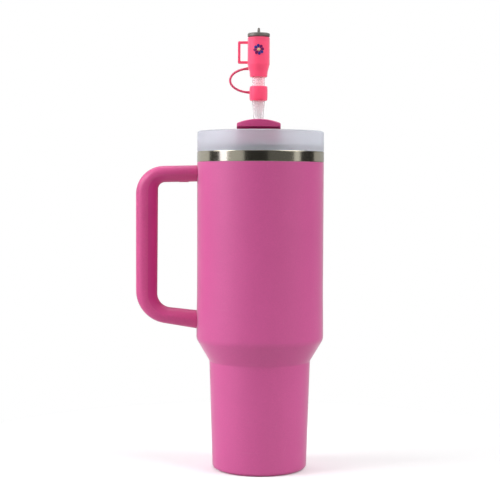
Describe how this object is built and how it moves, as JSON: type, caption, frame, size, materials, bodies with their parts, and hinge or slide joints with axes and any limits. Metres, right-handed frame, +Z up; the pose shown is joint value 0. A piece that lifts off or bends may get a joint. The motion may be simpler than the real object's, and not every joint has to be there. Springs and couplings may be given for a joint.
{
  "type": "insulated tumbler",
  "caption": "Tall double-walled steel tumbler with a side handle, press-in lid with a rotating cover, straw, and a silicone straw cap shaped like a small tumbler.",
  "frame": {"origin": "centre of the base's rest plane, on the vessel's axis", "axes": "+Z up along the vessel's axis, -X towards the handle, -Y towards the drinking side"},
  "size_m": [0.1473, 0.0996, 0.3449],
  "materials": {
    "powder_coat": "satin powder coat with a fine texture",
    "bare_steel": "satin, brushed round the vessel",
    "getter_black": "matt sintered tablet",
    "grip_pink": "soft-touch, satin",
    "core_grey": "glass-filled nylon",
    "lid_frosted": "frosted, translucent",
    "seal_clear": "translucent silicone",
    "cover_pink": "satin moulded",
    "straw_clear": "translucent",
    "silicone_coral": "satin silicone",
    "mini_grey": "metallic grey",
    "petal_blue": "satin silicone inlay",
    "petal_purple": "satin silicone inlay",
    "cream": "satin silicone inlay"
  },
  "bodies": {
    "tumbler": {"outer_shell": "powder_coat", "shell_base": "powder_coat", "base_disc": "bare_steel", "vent_plug": "bare_steel", "inner_liner": "bare_steel", "getter_cup": "bare_steel", "getter": "getter_black", "handle_core": "core_grey", "handle_grip": "grip_pink", "upper_bracket": "bare_steel", "lower_bracket": "bare_steel", "handle_screws": "bare_steel", "screw_plugs": "grip_pink"},
    "lid": {"lid_body": "lid_frosted", "lid_gasket": "seal_clear", "hub_oring": "seal_clear"},
    "cover": {"rotating_cover": "cover_pink", "cover_base": "cover_pink", "sip_seal": "seal_clear", "vent_seal": "seal_clear", "hub_clip": "bare_steel", "straw_grommet": "seal_clear"},
    "straw": {"straw": "straw_clear", "collar": "silicone_coral", "tether": "silicone_coral"},
    "cap": {"cap_body": "silicone_coral", "cap_lid": "mini_grey", "cap_pin": "mini_grey", "petals_blue": "petal_blue", "petals_purple": "petal_purple", "flower_centre": "cream"}
  },
  "joints": [
    {"name": "lid_lift", "type": "slide", "parent": "tumbler", "child": "lid", "axis": [0, 0, 1], "range_m": [0, 0.25]},
    {"name": "cover_turn", "type": "hinge", "parent": "lid", "child": "cover", "pos_m": [-0.0018, 0, 0.2526], "axis": [0, 0, 1], "range_deg": [0, 90]},
    {"name": "straw_lift", "type": "slide", "parent": "cover", "child": "straw", "axis": [0, 0, 1], "range_m": [0, 0.25]},
    {"name": "cap_lift", "type": "slide", "parent": "straw", "child": "cap", "axis": [0, 0, 1], "range_m": [0, 0.017], "deforming": ["tether"]}
  ]
}
